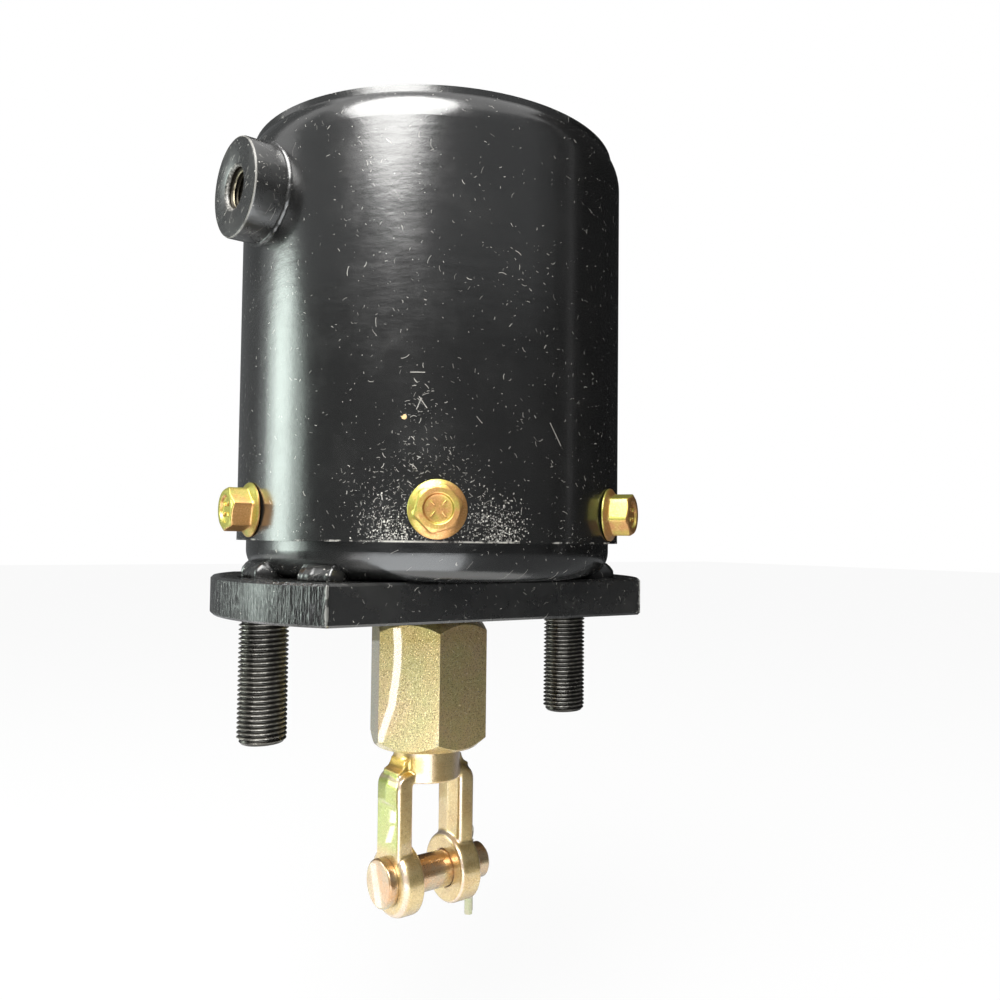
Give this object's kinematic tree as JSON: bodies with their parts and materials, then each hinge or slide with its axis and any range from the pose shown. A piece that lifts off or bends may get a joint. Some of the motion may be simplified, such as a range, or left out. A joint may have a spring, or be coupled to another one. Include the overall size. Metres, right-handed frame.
{
  "type": "piston air brake chamber",
  "caption": "Black piston air brake chamber with a side air port, a flanged two-stud mounting plate, and a hex-coupled push rod ending in a pinned clevis.",
  "frame": {"origin": "centre of the mounting plate's seating face, on the push rod's axis", "axes": "+Z along the rod towards the cup's closed end; +X through the two mounting studs, the air port and the clevis pin's head lie on the -X side; -Y faces the viewer"},
  "size_m": [0.1546, 0.1432, 0.2769],
  "materials": {
    "black_paint_cup": "gloss black paint on drawn steel, dusty",
    "black_paint_cap": "satin black paint on pressed steel",
    "black_paint_plate": "satin black paint over flame-cut plate, chipped at the corners",
    "black_paint_boss": "satin black paint on turned steel",
    "black_paint_weld": "black paint over weld bead",
    "yellow_zinc": "bright yellow zinc plating on steel",
    "olive_zinc": "olive-gold zinc plating with a fine sparkle",
    "iridescent_zinc": "yellow-green to pink chromate over forged steel",
    "copper_zinc": "brown-gold chromate on ground steel",
    "oiled_steel": "dark oily steel thread",
    "ground_steel": "ground and polished",
    "black_spring_steel": "black coated spring wire",
    "plain_steel": "plain bright steel",
    "cast_aluminium": "machined casting",
    "black_rubber": "moulded nitrile",
    "bronze": "sintered bronze",
    "guide_plastic": "filled nylon"
  },
  "bodies": {
    "housing": {"housing_cup": "black_paint_cup", "port_boss": "black_paint_boss", "port_weld": "black_paint_weld", "end_cap": "black_paint_cap", "weld_nuts": "plain_steel", "flange_bolts": "yellow_zinc", "mounting_plate": "black_paint_plate", "mounting_studs": "oiled_steel", "plate_welds": "black_paint_weld", "rod_bushing": "bronze", "rod_wiper": "black_rubber", "spring_seat": "plain_steel", "power_spring": "black_spring_steel"},
    "piston_group": {"piston": "cast_aluminium", "piston_seal": "black_rubber", "guide_ring": "guide_plastic", "hub_oring": "black_rubber"},
    "rod_group": {"push_rod": "ground_steel", "thrust_washer": "plain_steel", "rod_locknut": "plain_steel", "hex_coupling": "olive_zinc", "clevis": "iridescent_zinc"},
    "pin_group": {"clevis_pin": "copper_zinc", "cotter_pin": "plain_steel"}
  },
  "joints": [
    {"name": "rod_stroke", "type": "slide", "parent": "housing", "child": "piston_group", "axis": [0, 0, -1], "range_m": [0, 0.05715], "stiffness_N_per_m": 27800, "springref_m": -0.045, "deforming": ["power_spring"]},
    {"name": "rod_swivel", "type": "hinge", "parent": "piston_group", "child": "rod_group", "pos_m": [0, 0, 0], "axis": [0, 0, 1], "continuous": true},
    {"name": "clevis_pin_turn", "type": "hinge", "parent": "rod_group", "child": "pin_group", "pos_m": [0, 0, -0.0935], "axis": [0.9945, 0.1045, 0], "continuous": true}
  ]
}
